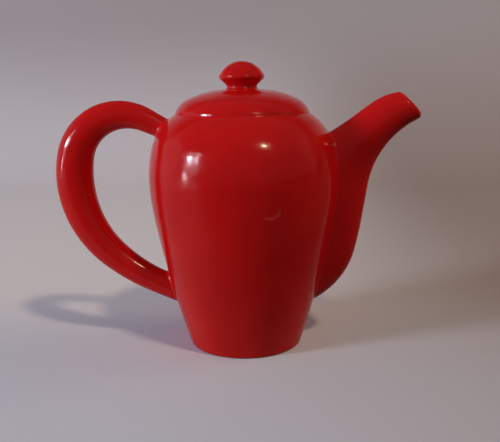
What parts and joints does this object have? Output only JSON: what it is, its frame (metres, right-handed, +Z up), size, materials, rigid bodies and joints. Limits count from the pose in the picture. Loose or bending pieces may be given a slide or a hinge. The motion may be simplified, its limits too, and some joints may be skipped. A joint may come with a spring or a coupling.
{
  "type": "toy teapot",
  "caption": "Small glossy toy teapot moulded in one piece: tapered round body, lid shape with a round knob, ear-shaped handle and a curved spout cut off on a slant.",
  "frame": {"origin": "centre of the flat underside, on the axis of the turned body", "axes": "+Z up along the axis of the body, +X towards the spout with the handle on -X, +Y to the far side of the pot as pictured"},
  "size_m": [0.0512, 0.0264, 0.04],
  "materials": {
    "teapot": "glossy red moulded plastic with a faint unevenness and a few light scuffs"
  },
  "bodies": {
    "root": {"teapot": "teapot"}
  },
  "joints": []
}
